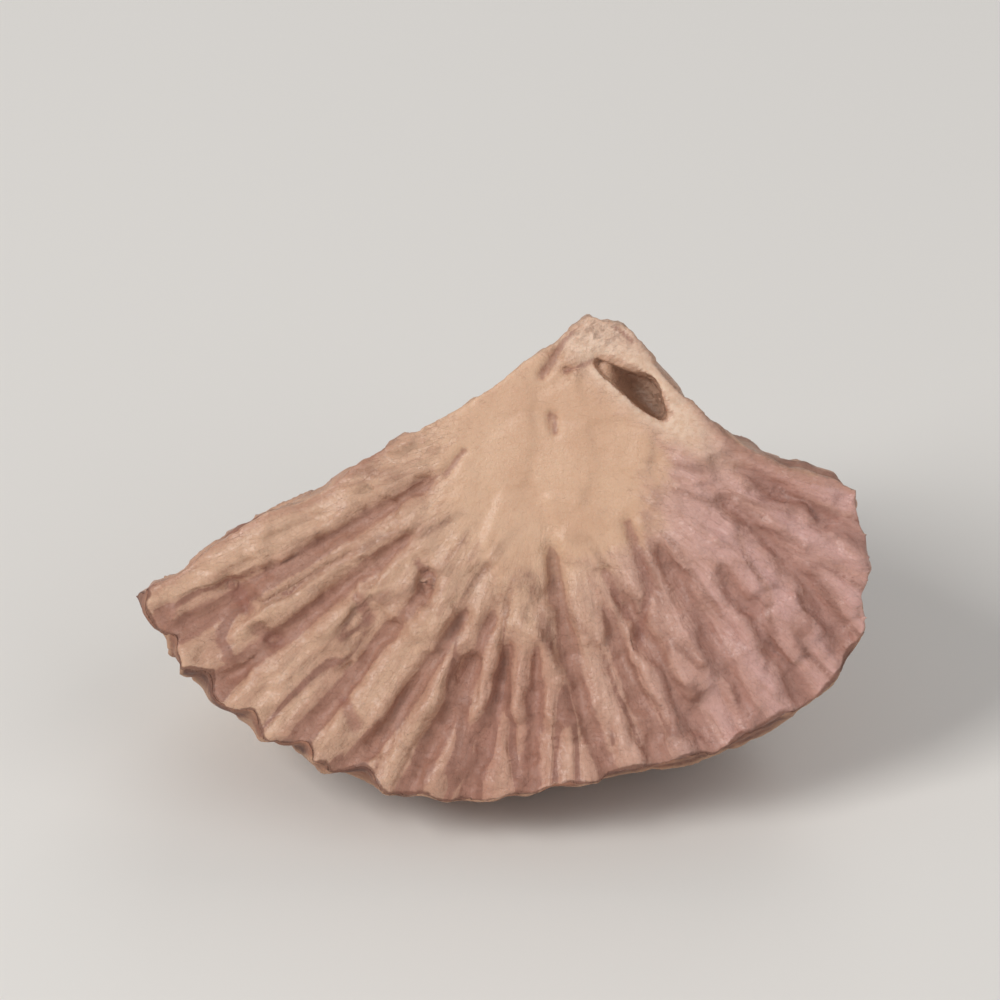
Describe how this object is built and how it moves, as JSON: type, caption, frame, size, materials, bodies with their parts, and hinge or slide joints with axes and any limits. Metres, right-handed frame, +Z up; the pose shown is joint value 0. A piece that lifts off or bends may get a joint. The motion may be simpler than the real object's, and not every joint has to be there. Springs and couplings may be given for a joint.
{
  "type": "broken areca nut",
  "caption": "Fan-shaped wedge broken off a dried areca nut, with ribbed broken faces, a smooth pale core and veined skin.",
  "frame": {"origin": "middle of the small flat spot on the skin that the piece rests on", "axes": "+Z up; -Y is the side that the fan-shaped broken face looks to, leaning back; +X to the right along the fan"},
  "size_m": [0.023, 0.0177, 0.0151],
  "materials": {
    "areca_nut": "matt; broken flesh marbled cream and brown, skin tan brown"
  },
  "bodies": {
    "root": {"areca_nut_piece": "areca_nut"}
  },
  "joints": []
}
